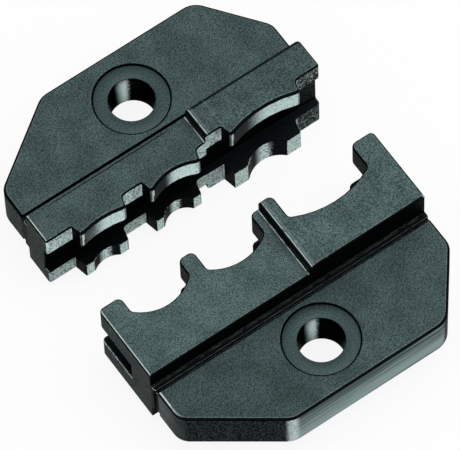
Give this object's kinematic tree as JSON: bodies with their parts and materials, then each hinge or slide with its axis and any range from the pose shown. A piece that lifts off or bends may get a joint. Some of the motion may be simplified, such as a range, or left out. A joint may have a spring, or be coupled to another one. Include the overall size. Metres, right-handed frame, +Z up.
{
  "type": "crimping die",
  "caption": "Open crimping die for insulated terminals: a nest half and an indenter half, each a bolted tang plate with a stepped, slotted jaw that carries the crimp profiles.",
  "frame": {"origin": "middle of the open set's bounding box, on the plane that the thick jaw segments rest on", "axes": "+X along the jaws towards the thick segment, +Y from the nest half to the indenter half, +Z up"},
  "size_m": [0.031, 0.0412, 0.0108],
  "materials": {
    "die_steel": "black oxide on grainy sintered steel, worn bright on the working lands",
    "bush_steel": "black oxide, turned, satin"
  },
  "bodies": {
    "nest_half": {"nest_die": "die_steel", "nest_bush": "bush_steel"},
    "indenter_half": {"indenter_die": "die_steel", "indenter_bush": "bush_steel"}
  },
  "joints": [
    {"name": "closing_slide", "type": "slide", "parent": "nest_half", "child": "indenter_half", "axis": [0, -1, 0], "range_m": [0, 0.0082]}
  ]
}
